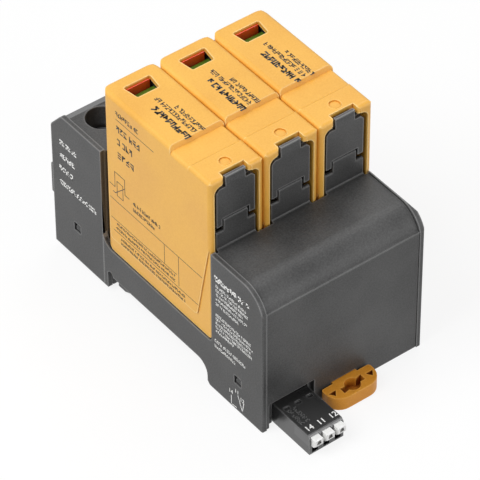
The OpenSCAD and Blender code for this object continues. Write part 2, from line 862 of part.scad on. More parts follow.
// Terminal screw with a cross slot, its tip just over the terminal strip
module terminal_screw(i) {
    tip = strip_z + strip_t + tip_gap;
    top = head_low + head_h;
    color(steel) translate([pole_x(i), screw_y, 0]) difference() {
        union() {
            translate([0, 0, tip]) cylinder(d = screw_d, h = head_low - tip + head_h / 2);
            translate([0, 0, head_low]) cylinder(d = head_d, h = head_h);
        }
        for (turn = [0, 90]) rotate([0, 0, turn])
            block([-drive_l / 2, -drive_w / 2, top - drive_depth], [drive_l / 2, drive_w / 2, top + over]);
    }
}

// Two leaves that grip one contact blade, standing on z
module socket_leaves(x, y, z) {
    for (side = [-1, 1]) {
        mid = x + side * (blade_t / 2 + leaf_gap + leaf_t / 2);
        block([mid - leaf_t / 2, y - blade_w / 2, z - strip_t / 2],
              [mid + leaf_t / 2, y + blade_w / 2, z + leaf_h]);
    }
}

// Terminal strip: a tongue in the cage, a leg down the terminal block and a run to the blade socket
module line_contact(i) {
    left = -line_blade_x - post_w / 2;
    color(copper) translate([pole_x(i), 0, 0]) {
        block([-strip_w / 2, leg_y, strip_z],
              [strip_w / 2, screw_y + cage_l / 2 + strip_end, strip_z + strip_t]);
        block([left, leg_y, run_z], [strip_w / 2, leg_y + strip_t, strip_z + strip_t]);
        block([left, line_blade_y - blade_w / 2, run_z], [left + post_w, leg_y + strip_t, run_top]);
        socket_leaves(-line_blade_x, line_blade_y, run_top);
    }
}

// Common bar under the modules' front ends
module star_bar() {
    x0 = pole_x(0) + star_blade_x;
    x1 = pole_x(poles - 1) + star_blade_x;
    color(copper) {
        block([x0 - post_w / 2, star_blade_y - blade_w / 2, run_z],
              [x1 + post_w / 2, star_blade_y + blade_w / 2, run_top]);
        each_pole() socket_leaves(star_blade_x, star_blade_y, run_top);
    }
}

// Bar that works the signal switch when a module trips
module trip_bar() {
    color(white) {
        block([pole_x(0) - trip_end, trip_y, trip_z],
              [pole_x(poles - 1) + trip_end, trip_y + trip_t, trip_z + trip_h]);
        block([finger_x - finger_w / 2, finger_y, trip_z],
              [finger_x + finger_w / 2, trip_y + trip_t, trip_z + trip_h]);
    }
}

module signal_board() {
    color(board_green)
        block([board_left, header_front + fit, board_z], [board_right, board_rear, board_z + board_t]);
}

// Change-over switch with its plunger towards the trip bar
module signal_switch() {
    x1 = finger_x + switch_w / 3;
    color(black) {
        block([x1 - switch_w, switch_rear - switch_l, board_z + board_t],
              [x1, switch_rear, board_z + board_t + switch_h]);
        block([finger_x - plunger_w / 2, switch_rear - over, trip_z + fit],
              [finger_x + plunger_w / 2, switch_rear + plunger, trip_z + trip_h - fit]);
    }
}

// Pin header behind the plug, open below, with the board on its top
module signal_header() {
    half = plug_w / 2 + plug_gap;
    color(black) difference() {
        block([plug_x - half - header_wall, header_front, plug_low],
              [plug_x + half + header_wall, header_rear, board_z]);
        block([plug_x - half, header_front - over, plug_low - over],
              [plug_x + half, plug_rear + 2 * plug_gap, plug_top + plug_gap]);
        each_contact() block([-pin_w / 2, header_front, pin_z - pin_w / 2],
                             [pin_w / 2, header_rear + over, pin_z + pin_w / 2]);
    }
}

module header_pins() {
    color(steel) each_contact() {
        block([-pin_w / 2, header_front + pin_start, pin_z - pin_w / 2],
              [pin_w / 2, header_rear + pin_w, pin_z + pin_w / 2]);
        block([-pin_w / 2, header_rear, pin_z - pin_w / 2], [pin_w / 2, header_rear + pin_w, board_z]);
    }
}

module plug_body() {
    front_room = button_depth + button_play;
    color(black) difference() {
        along_x(plug_left, plug_right)
            polygon([[plug_front, plug_low], [plug_front, plug_top - plug_bevel],
                     [plug_front + plug_bevel, plug_top], [plug_rear, plug_top], [plug_rear, plug_low]]);
        each_contact() {
            block([-button_w / 2 - button_gap, plug_front - over, button_low - button_gap],
                  [button_w / 2 + button_gap, plug_front + front_room, button_high + button_gap]);
            block([-wire_w / 2, plug_front - over, wire_z - wire_w / 2],
                  [wire_w / 2, plug_front + front_room, wire_z + wire_w / 2]);
            block([-cell_w / 2, plug_front + front_room + over, pin_z - cell_h / 2],
                  [cell_w / 2, plug_rear + over, pin_z + cell_h / 2]);
            block([-pit_w / 2, y_front - pit_end - pit_l, plug_top - pit_depth],
                  [pit_w / 2, y_front - pit_end, plug_top + over]);
        }
    }
}

// Clamp contacts inside the plug, one fork round each header pin
module plug_contacts() {
    y0 = plug_front + button_depth + button_play + 2 * over;
    inner = pin_w / 2 + pin_gap;
    color(copper) each_contact() {
        for (side = [-1, 1]) {
            z = pin_z + side * (inner + fork_t / 2);
            block([-fork_w / 2, y0, z - fork_t / 2], [fork_w / 2, plug_rear - fork_end, z + fork_t / 2]);
        }
        block([-fork_w / 2, y0, pin_z - inner - fork_t / 2],
              [fork_w / 2, y0 + fork_web, pin_z + inner + fork_t / 2]);
    }
}

// Release button with a nose that runs to a point below and a pit for a screwdriver
module plug_button(k) {
    y0 = plug_front - button_out;
    y1 = plug_front + button_depth;
    color(white) translate([plug_x + (k - 1) * plug_pitch, 0, 0]) difference() {
        along_x(-button_w / 2, button_w / 2)
            polygon([[y0, button_low + button_point], [y0, button_high], [y1, button_high], [y1, button_low],
                     [y0 + button_point, button_low]]);
        along_y(y0 - over, y0 + button_pit)
            polygon([[-button_pit_low / 2, button_low + button_point + button_rim],
                     [button_pit_low / 2, button_low + button_point + button_rim],
                     [button_pit_top / 2, button_high - button_rim],
                     [-button_pit_top / 2, button_high - button_rim]]);
    }
}

// Side view of a module: round lower corners, round lip, ledge, ridge, groove, grip step and round rear
module module_side() {
    polygon(concat(
        arc([module_front + bay_front_r, module_z + bay_front_r], bay_front_r, 270, 180),
        arc([module_front + lip_r, ledge_z - lip_r], lip_r, 180, 90),
        [[ridge_y, ledge_z], [ridge_y + ridge_run, groove_end_z]],
        [[step_y, groove_z], [step_y + ridge_run, module_top]],
        arc([module_rear - edge_r, module_top - edge_r], edge_r, 90, 0),
        arc([module_rear - bay_r, module_z + bay_r], bay_r, 0, -90)));
}

// Front view of a module up to a given top, with round upper edges
module module_end(top) {
    polygon(rounded([-module_half, module_z], [module_half, top], [0, 0, edge_r, edge_r]));
}

// Label field on a module's side; the margin round it lies a little lower
module label_field() {
    low = module_z + 2 * field_margin;
    polygon(eased([[module_rear - field_margin, low], [module_front + 2.5 * field_margin, low],
                   [module_front + field_margin / 3, block_top], [module_front - over, block_top],
                   [module_front - over, module_top + over], [module_rear + over, module_top + over],
                   [module_rear + over, block_top], [module_rear - field_margin, block_top]],
                  [field_r, field_r, 0, 0, 0, 0, 0, 0]));
}

// Plan of the status window, wider at the rear
module window_outline() {
    polygon(eased([[-window_front_w / 2, window_front], [window_front_w / 2, window_front],
                   [window_w / 2, window_back], [-window_w / 2, window_back]],
                  [window_r, window_r, window_r, window_r]));
}

// Right half of the notch's plan in the front lip, its nose rounded and its mouth flared
function notch_half() =
    let (y = module_front + notch_lip)
    [[notch_w / 2, module_front + notch_d],
     each arc([notch_w / 2 + notch_r, y + notch_r], notch_r, 180, 270, 5),
     [notch_w / 2 + notch_r + notch_flare, module_front - over]];

// Plan of the notch in the front lip
module lip_notch() {
    right = notch_half();
    polygon(concat(right, [for (k = [len(right) - 1:-1:0]) [-right[k].x, right[k].y]]));
}

// Outer form of a module: its side view, its front views at each level and its plan, all in one
module module_form() {
    intersection() {
        along_x(-module_half, module_half) module_side();
        union() {
            along_y(module_front, module_rear) module_end(groove_end_z);
            along_y(step_y, module_rear) module_end(module_top);
            along_y(module_front, ridge_y + ridge_run) module_end(ledge_z);
        }
        along_z(module_z, module_top)
            polygon(rounded([-module_half, module_front], [module_half, module_rear],
                            [plan_front_r, plan_front_r, plan_rear_r, plan_rear_r]));
    }
}

module module_housing(i) {
    color(yellow) translate([pole_x(i), 0, 0]) difference() {
        module_form();
        along_y(module_front - over, module_rear - module_wall)
            polygon(rounded([-inner_half, module_z - over], [inner_half, lip_z], [0, 0, cove_r, cove_r]));
        along_y(step_y + 2 * roof_t, module_rear - module_wall)
            polygon(rounded([-inner_half, module_z - over], [inner_half, roof_z], [0, 0, roof_r, roof_r]));
        along_z(roof_z - over, module_top + over) window_outline();
        along_z(lip_z - cove_r, module_top + over) lip_notch();
        translate([0, module_front + mark_end, ledge_z - mark_depth]) cylinder(d = mark_d, h = over);
        both_sides() along_x(module_half - field_depth, module_half + over) difference() {
            rect([module_front - over, module_z - over], [module_rear + over, module_top]);
            label_field();
        }
    }
}

// Inner carrier: floor, end walls, top deck with the flag's rails, and ears for the latch
module module_frame(i) {
    rail_x = flag_w / 2 + fit;
    color(black) translate([pole_x(i), 0, 0]) difference() {
        union() {
            block([-frame_half, frame_front, module_z], [frame_half, frame_rear, varistor_z]);
            block([-frame_half, frame_front, module_z], [frame_half, frame_front + frame_t, deck_z]);
            block([-frame_half, frame_rear - frame_t, module_z], [frame_half, frame_rear, deck_z]);
            block([-frame_half, frame_front, deck_z - frame_t], [frame_half, frame_rear, deck_z]);
            both_sides() {
                block([rail_x, flag_front - flag_travel, deck_z - over],
                      [rail_x + frame_t, frame_rear, flag_z + flag_t]);
                block([arm_w / 2 + ear_gap, arm_front - fit, pivot_z - ear_h / 2],
                      [frame_half, frame_front + over, pivot_z + ear_h / 2]);
            }
        }
        translate([-half_w, pivot_y, pivot_z]) rotate([0, 90, 0])
            cylinder(r = pivot_r + pivot_clear, h = 2 * half_w);
        blade_slots(fit / 2, module_z - over, varistor_z + over);
    }
}

// Latch: a plate over the tab, a tongue in the lip's notch and an arm on pivot pins behind the tab
module module_latch(i) {
    half = latch_w / 2;
    notch_half = latch_notch_w / 2;
    knee = latch_top + knee_h;
    bead = tongue_top - bead_h;
    color(dark) translate([pole_x(i), 0, 0]) {
        along_y(tab_front, tab_rear) polygon([[-half, latch_low], [-half, latch_top - latch_chamfer],
            [-half + latch_chamfer, latch_top], [half - latch_chamfer, latch_top],
            [half, latch_top - latch_chamfer],
            [half, latch_low], [notch_half, latch_low], [notch_half, latch_notch], [-notch_half, latch_notch],
            [-notch_half, latch_low]]);
        along_x(-tongue_w / 2, tongue_w / 2) polygon([[tab_front, latch_top - over], [tab_front, knee],
            [tongue_back - tongue_t, bead], [tongue_back - tongue_t - bead_out, bead],
            [tongue_back - tongue_t - bead_out, tongue_top], [tongue_back, tongue_top],
            [tongue_back, knee], [tab_rear, latch_top - over]]);
        block([-arm_w / 2, tab_front, latch_notch], [arm_w / 2, arm_rear, latch_notch + latch_bridge]);
        block([-arm_w / 2, arm_front, pivot_z - arm_t], [arm_w / 2, arm_rear, latch_notch + over]);
        translate([-frame_half, pivot_y, pivot_z]) rotate([0, 90, 0]) cylinder(r = pivot_r, h = 2 * frame_half);
    }
}

// Green status flag between the deck's rails
module module_flag(i) {
    color(green) translate([pole_x(i), 0, 0]) {
        block([-flag_w / 2, flag_front, flag_z], [flag_w / 2, insert_back - insert_gap, flag_z + flag_t]);
        block([-flag_tail_w / 2, flag_front - flag_tail, flag_z],
              [flag_tail_w / 2, flag_front + over, flag_z + flag_t / 2]);
    }
}

// Red backing under and behind the flag
module module_insert(i) {
    color(red) translate([pole_x(i), 0, 0]) {
        block([-flag_w / 2, flag_front - flag_travel, deck_z],
              [flag_w / 2, insert_back + insert_wall, deck_z + insert_t]);
        block([-insert_half, insert_back, deck_z],
              [insert_half, insert_back + insert_wall, module_top - insert_set]);
    }
}

// Varistor block standing on the carrier's floor
module module_varistor(i) {
    color(blue) translate([pole_x(i), 0, 0]) along_x(-varistor_t / 2, varistor_t / 2)
        polygon(rounded([varistor_front, varistor_z], [varistor_rear, varistor_z + varistor_h],
                        [varistor_r, varistor_r, varistor_r, varistor_r]));
}

// Plates soldered to the varistor's faces
module module_electrodes(i) {
    e = electrode_margin;
    color(steel) translate([pole_x(i), 0, 0]) both_sides() along_x(varistor_t / 2, plate_x)
        polygon(rounded([varistor_front + e, varistor_z + e], [varistor_rear - e, varistor_z + varistor_h - e],
                        [varistor_r, varistor_r, varistor_r, varistor_r]));
}

// Blade with its strip up the left plate
module module_line_blade(i) {
    color(copper) translate([pole_x(i), 0, 0]) along_x(-line_blade_x - blade_t / 2, -line_blade_x + blade_t / 2)
        polygon(blade_outline(line_blade_y, varistor_z + line_strip_h));
}

// Blade whose strip ends at the disconnector
module module_star_blade(i) {
    color(copper) translate([pole_x(i), 0, 0]) along_x(star_blade_x - blade_t / 2, star_blade_x + blade_t / 2)
        polygon(blade_outline(star_blade_y, varistor_z + star_strip_h));
}

// Spring strip of the thermal disconnector, soldered to the right plate at its upper end
module module_disconnect(i) {
    x = star_blade_x + blade_t / 2;
    z1 = varistor_z + varistor_h - spring_end;
    half = blade_w / 2 - blade_taper;
    color(copper) translate([pole_x(i), star_blade_y, 0]) {
        block([x, -half, varistor_z + spring_set], [x + spring_t, half, z1]);
        block([plate_x, -half, z1 - solder_h], [x + spring_t / 2, half, z1]);
    }
}

base_housing();
left_side_plate();
right_side_plate();
base_plate();
rail_foot();
star_bar();
trip_bar();
signal_board();
signal_switch();
signal_header();
header_pins();
plug_body();
plug_contacts();
for (i = [0:poles - 1]) {
    terminal_cage(i);
    terminal_screw(i);
    line_contact(i);
    plug_button(i);
    module_housing(i);
    module_frame(i);
    module_latch(i);
    module_flag(i);
    module_insert(i);
    module_varistor(i);
    module_electrodes(i);
    module_line_blade(i);
    module_star_blade(i);
    module_disconnect(i);
}
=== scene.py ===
"""Looks of a three-pole surge arrester for a top-hat rail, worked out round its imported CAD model.

The CAD nodes keep their shapes. Modifiers break their edges as a mould does, and procedural materials give
them grained polyamide, coated varistors, rolled copper and zinc-plated steel. The pieces made here are the
modules' covers, which are the CAD ones with rounder rear corners, the beads round the modules' marks, and the
ink and relief on the mouldings. They are worked out as whole arrays.
"""

import json

import bmesh
import bpy
import numpy as np
from mathutils import Matrix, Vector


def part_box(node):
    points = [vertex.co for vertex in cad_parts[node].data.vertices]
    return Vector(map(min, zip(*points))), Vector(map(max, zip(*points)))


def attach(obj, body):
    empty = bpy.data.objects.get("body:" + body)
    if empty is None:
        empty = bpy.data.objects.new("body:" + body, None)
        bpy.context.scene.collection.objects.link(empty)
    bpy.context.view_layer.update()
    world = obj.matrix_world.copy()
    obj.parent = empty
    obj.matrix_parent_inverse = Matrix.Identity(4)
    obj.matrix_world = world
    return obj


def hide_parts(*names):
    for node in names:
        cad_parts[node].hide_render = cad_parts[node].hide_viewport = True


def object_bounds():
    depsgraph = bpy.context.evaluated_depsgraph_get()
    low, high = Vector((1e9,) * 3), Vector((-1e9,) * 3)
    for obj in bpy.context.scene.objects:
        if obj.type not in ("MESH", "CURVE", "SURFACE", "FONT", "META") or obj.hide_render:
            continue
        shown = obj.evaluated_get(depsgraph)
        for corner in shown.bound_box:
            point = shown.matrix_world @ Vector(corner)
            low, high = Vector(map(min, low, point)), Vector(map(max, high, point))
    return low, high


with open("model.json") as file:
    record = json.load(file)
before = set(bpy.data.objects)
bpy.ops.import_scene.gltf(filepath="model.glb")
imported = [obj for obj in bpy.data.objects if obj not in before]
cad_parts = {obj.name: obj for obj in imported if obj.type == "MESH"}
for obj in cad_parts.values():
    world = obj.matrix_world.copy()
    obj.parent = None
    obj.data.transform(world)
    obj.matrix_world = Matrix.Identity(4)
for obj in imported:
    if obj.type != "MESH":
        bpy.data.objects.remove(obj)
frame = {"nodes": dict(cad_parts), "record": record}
CAD_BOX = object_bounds()

MM = 0.001
POLES = (1, 2, 3)
rng = np.random.default_rng(seed=7)


def low(node):
    """Lowest corner of a CAD node, in mm."""
    return np.array(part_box(node)[0]) / MM


def high(node):
    """Highest corner of a CAD node, in mm."""
    return np.array(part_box(node)[1]) / MM


# Colours and nodes

def linear(code):
    """Linear RGBA of an sRGB hex colour: each channel goes through the inverse of the sRGB curve."""
    channel = np.array([int(code[k:k + 2], 16) for k in (1, 3, 5)]) / 255
    curve = np.where(channel <= 0.04045, channel / 12.92, ((channel + 0.055) / 1.055) ** 2.4)
    return (*curve.tolist(), 1.0)


def add(tree, kind, inputs=None, **settings):
    """Adds one node: first its settings, then each input's value, or a link from another node's output."""
    node = tree.nodes.new(kind)
    for key, value in settings.items():
        setattr(node, key, value)
    for key, value in (inputs or {}).items():
        if isinstance(value, bpy.types.NodeSocket):
            tree.links.new(value, node.inputs[key])
        else:
            node.inputs[key].default_value = value
    return node


def per_mm(size):
    """Noise scale whose features are about this many millimetres wide, for coordinates in metres."""
    return 1 / (size * MM)


def new_material(name):
    """An empty node material and its tree."""
    material = bpy.data.materials.new(name)
    material.use_nodes = True
    material.node_tree.nodes.clear()
    return material, material.node_tree


# Sockets of a Mix node that mixes colours
MIX_FACTOR, MIX_A, MIX_B, MIX_OUT = 0, 6, 7, 2
# Refractive index of the plastics, which is about polyamide's
PLASTIC_IOR = 1.53
# Size of the slow drifts that the melt leaves in a moulding, in mm
FLOW_MM = 16.0
# Where a noise, and a sum of two, spend most of their range
NOISE_LOW, NOISE_HIGH = 0.3, 0.7
SUM_LOW, SUM_HIGH = 0.7, 1.3
# How far the roughness drifts either way, on mouldings and on rolled metal
FLOW_GLOSS, STREAK_GLOSS = 0.05, 0.07
# Scale along a rolling streak beside that across it
STREAK_DRAW = 0.12
# Painted highlights along outer edges and painted shade in pits and corners: reach of the rays that find them, in
# mm, the shares of free rays at which the mark starts and is full, and how many rays look
RIM_MM, RIM_NONE, RIM_FULL = 0.5, 0.95, 0.45
PIT_MM, PIT_NONE, PIT_FULL = 3.0, 0.8, 0.3
MARK_RAYS = 6


def moulded(name, pale, deep, rough, grain_mm, depth_mm, specular=0.5, edge_highlight=None, pit_shade=None):
    """Moulded plastic: a noise for the mould's eroded grain drives the bump, and with a slower noise, where the
    melt flowed, it drifts the colour between two tones and the gloss between two roughnesses. Given two more
    colours, it also paints light and shade: a painted highlight along outer edges, where short rays into the
    body come out again, and painted shade in holes and corners, where rays into the open soon meet the body."""
    material, tree = new_material(name)
    place = add(tree, "ShaderNodeTexCoord").outputs["Object"]
    grain = add(tree, "ShaderNodeTexNoise", {"Vector": place, "Scale": per_mm(grain_mm), "Detail": 3.0,
                                             "Roughness": 0.6}).outputs["Fac"]
    flow = add(tree, "ShaderNodeTexNoise", {"Vector": place, "Scale": per_mm(FLOW_MM),
                                            "Detail": 2.0}).outputs["Fac"]
    both = add(tree, "ShaderNodeMath", {0: flow, 1: grain}, operation="ADD").outputs[0]
    drift = add(tree, "ShaderNodeMapRange", {"Value": both, "From Min": SUM_LOW, "From Max": SUM_HIGH}).outputs[0]
    tone = add(tree, "ShaderNodeMix", {MIX_FACTOR: drift, MIX_A: linear(deep), MIX_B: linear(pale)},
               data_type="RGBA").outputs[MIX_OUT]
    gloss = add(tree, "ShaderNodeMapRange", {"Value": flow, "From Min": NOISE_LOW, "From Max": NOISE_HIGH,
                                             "To Min": rough - FLOW_GLOSS,
                                             "To Max": rough + FLOW_GLOSS}).outputs[0]
    # Painted highlight on outer edges and painted shade in holes and corners, each mixed over the tone by its mask
    marks = [(edge_highlight, True, RIM_MM, RIM_NONE, RIM_FULL), (pit_shade, False, PIT_MM, PIT_NONE, PIT_FULL)] if edge_highlight else []
    for colour, inside, reach, none, full in marks:
        free = add(tree, "ShaderNodeAmbientOcclusion", {"Distance": reach * MM}, samples=MARK_RAYS, inside=inside,
                   only_local=True).outputs["AO"]
        share = add(tree, "ShaderNodeMapRange", {"Value": free, "From Min": none, "From Max": full}).outputs[0]
        tone = add(tree, "ShaderNodeMix", {MIX_FACTOR: share, MIX_A: tone, MIX_B: linear(colour)},
                   data_type="RGBA").outputs[MIX_OUT]
    bump = add(tree, "ShaderNodeBump", {"Height": grain, "Distance": depth_mm * MM}).outputs["Normal"]
    skin = add(tree, "ShaderNodeBsdfPrincipled", {"Base Color": tone, "Roughness": gloss, "Normal": bump,
                                                  "IOR": PLASTIC_IOR, "Specular IOR Level": specular})
    add(tree, "ShaderNodeOutputMaterial", {"Surface": skin.outputs[0]})
    return material


def rolled(name, pale, deep, rough, streak_mm, depth_mm):
    """Rolled or plated metal: a noise stretched along z gives the rolling streaks, which drift the colour, the
    gloss and a shallow bump."""
    material, tree = new_material(name)
    place = add(tree, "ShaderNodeTexCoord").outputs["Object"]
    drawn = add(tree, "ShaderNodeMapping", {"Vector": place, "Scale": (1.0, 1.0, STREAK_DRAW)}).outputs[0]
    streak = add(tree, "ShaderNodeTexNoise", {"Vector": drawn, "Scale": per_mm(streak_mm),
                                              "Detail": 4.0}).outputs["Fac"]
    tone = add(tree, "ShaderNodeMix", {MIX_FACTOR: streak, MIX_A: linear(deep), MIX_B: linear(pale)},
               data_type="RGBA").outputs[MIX_OUT]
    gloss = add(tree, "ShaderNodeMapRange", {"Value": streak, "From Min": NOISE_LOW, "From Max": NOISE_HIGH,
                                             "To Min": rough - STREAK_GLOSS,
                                             "To Max": rough + STREAK_GLOSS}).outputs[0]
    bump = add(tree, "ShaderNodeBump", {"Height": streak, "Distance": depth_mm * MM}).outputs["Normal"]
    skin = add(tree, "ShaderNodeBsdfPrincipled", {"Base Color": tone, "Roughness": gloss, "Normal": bump,
                                                  "Metallic": 1.0})
    add(tree, "ShaderNodeOutputMaterial", {"Surface": skin.outputs[0]})
    return material


# Finishes by the record's material slots. A moulding has its pale and deep tone, its roughness, the width and the
# depth of its grain in mm, its specular level, and the colours of its painted edge highlight and its painted shade
# in holes and corners.
FINISHES = {
    # Carbon-grey glass-filled polyamide from a spark-eroded mould: matte, with a soft broad sheen on round
    # edges, a painted highlight along its outer edges and painted shade in its holes and corners. The grain is about
    # 0.15 mm on the real one and is drawn at 0.5 mm so that it shows.
    "base_plastic": moulded("polyamide_grained_grey", "#525252", "#323232", 0.45, 0.5, 0.018, 0.35,
                            "#868686", "#141414"),
    # Orange-yellow polyamide from a finer mould: satin, with a fine sparkle on broad faces, a pale painted highlight
    # on its edges and deep orange painted shade in its holes and corners.
    "module_plastic": moulded("polyamide_satin_yellow", "#f2b950", "#e8aa40", 0.4, 0.45, 0.009, 0.5,
                              "#ffde98", "#cf8226"),
    # The same polyamide in the deeper orange of the rail foot, with a painted highlight on its edges and dark brown
    # painted shade in its holes.
    "foot_plastic": moulded("polyamide_satin_orange", "#e59c34", "#d68c28", 0.45, 0.4, 0.006, 0.3,
                            "#efae50", "#8e4a14"),
    # Black polyamide of the plug and the switch: smoother, so darker, with sharper edge lights, which come from its
    # gloss and from a painted highlight on its edges, and with painted shade in its holes and corners.
    "plug_plastic": moulded("polyamide_smooth_black", "#262626", "#1c1c1c", 0.3, 0.4, 0.004, 1.0,
                            "#5a5a5a", "#0e0e0e"),
    # Natural off-white polyamide of the release buttons and the trip bar, with a painted highlight on its edges and
    # grey painted shade in its holes and corners.
    "button_plastic": moulded("polyamide_natural_white", "#f4f4f2", "#ecece9", 0.4, 0.4, 0.003, 0.5,
                              "#fafafa", "#84837f"),
    # Black carrier inside the modules, matte.
    "carrier_plastic": moulded("polyamide_carrier_black", "#37383a", "#2f3032", 0.5, 0.35, 0.005),
    # Polished green polycarbonate of the status flag.
    "flag_plastic": moulded("polycarbonate_polished_green", "#688a2e", "#5d7e27", 0.22, 0.8, 0.001),
    # Polished red polycarbonate behind the flag.
    "insert_plastic": moulded("polycarbonate_polished_red", "#e04a1a", "#d24115", 0.25, 0.8, 0.001),
    # Dipped epoxy coat on the varistor: glossy, with the orange peel of a dipped powder.
    "varistor_coating": moulded("epoxy_dipped_blue", "#2f5596", "#274a86", 0.28, 1.4, 0.02),
    # Solder mask over glass-epoxy board: glossy green with the weave just showing.
    "board": moulded("solder_mask_green", "#2c6a3c", "#235a31", 0.25, 0.9, 0.003),
    # Rolled copper strip, its streaks along the strip.
    "copper": rolled("copper_rolled_strip", "#dca07c", "#c07f58", 0.3, 0.5, 0.002),
    # Zinc-plated and passivated steel: pale, with a faint blue cast and a soft gloss.
    "zinc_steel": rolled("steel_zinc_plated", "#d3d6d9", "#b4b8bd", 0.34, 0.6, 0.002),
}
# The modules' polyamide on the thin beads round their marks, without the painted edge highlight and painted shade.
BEAD_FINISH = moulded("polyamide_satin_yellow_bead", "#f2b950", "#e8aa40", 0.4, 0.45, 0.009)
# Two-part pad-print inks: opaque, a little glossier than the plastic under them.
WHITE_INK = moulded("ink_pad_print_white", "#fafaf8", "#f2f2f0", 0.45, 0.25, 0.001)
BLACK_INK = moulded("ink_pad_print_black", "#2c261e", "#221d16", 0.45, 0.25, 0.001)


# Edges and finishes of the mouldings

def round_over_group():
    """Geometry nodes that shade faces smooth and keep the edges sharp that fold by more than a limit."""
    group = bpy.data.node_groups.new("smooth_below_angle", "GeometryNodeTree")
    group.interface.new_socket("Geometry", in_out="INPUT", socket_type="NodeSocketGeometry")
    group.interface.new_socket("Limit", in_out="INPUT", socket_type="NodeSocketFloat")
    group.interface.new_socket("Geometry", in_out="OUTPUT", socket_type="NodeSocketGeometry")
    source = add(group, "NodeGroupInput")
    fold = add(group, "GeometryNodeInputMeshEdgeAngle").outputs["Unsigned Angle"]
    sharp = add(group, "FunctionNodeCompare", {0: fold, 1: source.outputs["Limit"]}, operation="GREATER_THAN")
    smooth = add(group, "GeometryNodeSetShadeSmooth", {"Geometry": source.outputs["Geometry"],
                                                       "Shade Smooth": True}, domain="FACE")
    edged = add(group, "GeometryNodeSetShadeSmooth", {"Geometry": smooth.outputs[0], "Selection": sharp.outputs[0],
                                                      "Shade Smooth": False}, domain="EDGE")
    add(group, "NodeGroupOutput", {"Geometry": edged.outputs[0]})
    return group


ROUND_OVER = round_over_group()
LIMIT_SOCKET = next(item.identifier for item in ROUND_OVER.interface.items_tree if item.name == "Limit")
# Corners of loose triangles closer than this, in mm, are one corner
MERGE_MM = 0.002
# Edges that fold by more than this, in degrees, are rounded, in this many steps
FOLD_DEG, EDGE_STEPS = 40, 2
# Rounding of the moulded edges, in mm, by the slot of the piece; the base's own mouldings have wider ones
EDGE_MM = {"base_plastic": 0.22, "module_plastic": 0.2, "foot_plastic": 0.3, "plug_plastic": 0.15,
           "button_plastic": 0.12, "carrier_plastic": 0.15, "flag_plastic": 0.12, "insert_plastic": 0.1,
           "varistor_coating": 0.5, "board": 0.05, "copper": 0.08, "zinc_steel": 0.12}
WIDE_EDGE_MM = {"left_side_plate": 0.4, "right_side_plate": 0.4, "base_housing": 0.3}
# Folds up to this many degrees are shaded smooth; the large mouldings have finer arcs than the rest
CREASE_DEG, FINE_CREASE_DEG = 30, 16
FINE_SLOTS = ("base_plastic", "module_plastic")
# Weight at which a corner's normal follows its largest face
LARGEST_FACE = 100


def finish_edges(piece, slot, width_mm):
    """Merges the loose triangles into one skin, rounds its sharp edges and smooths what folds less."""
    weld = piece.modifiers.new("weld", "WELD")
    weld.merge_threshold = MERGE_MM * MM
    edge = piece.modifiers.new("edge", "BEVEL")
    edge.width = width_mm * MM
    edge.segments = EDGE_STEPS
    edge.limit_method = "ANGLE"
    edge.angle_limit = np.radians(FOLD_DEG)
    edge.miter_outer = "MITER_ARC"
    edge.use_clamp_overlap = True
    shade = piece.modifiers.new("shade", "NODES")
    shade.node_group = ROUND_OVER
    shade[LIMIT_SOCKET] = np.radians(FINE_CREASE_DEG if slot in FINE_SLOTS else CREASE_DEG)
    weight = piece.modifiers.new("weight", "WEIGHTED_NORMAL")
    weight.weight = LARGEST_FACE
    weight.keep_sharp = True


for part in frame["record"]["subparts"]:
    node, slot = frame["nodes"][part["node"]], part["material_slot"]
    node.data.materials.clear()
    node.data.materials.append(FINISHES[slot])
    finish_edges(node, slot, WIDE_EDGE_MM.get(part["node"], EDGE_MM[slot]))


# Pieces made here

def put_on(name, mesh, material, body):
    """An object of a finished mesh, riding on a body."""
    mesh.materials.clear()
    mesh.materials.append(material)
    piece = bpy.data.objects.new(name, mesh)
    bpy.context.scene.collection.objects.link(piece)
    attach(piece, body)
    return piece


def new_piece(name, points, faces, material, body, slot):
    """A piece from points in mm and faces, riding on a body."""
    mesh = bpy.data.meshes.new(name)
    mesh.from_pydata(points * MM, [], faces)
    return put_on(name, mesh, material, body)


# Radius of the modules' rear corners in plan, in mm, how many steps each half of their arcs has, and how close to a
# cutting plane a corner may lie, in metres, and still be on it
REAR_R, ARC_STEPS, ON_PLANE = 3.0, 6, 1e-7


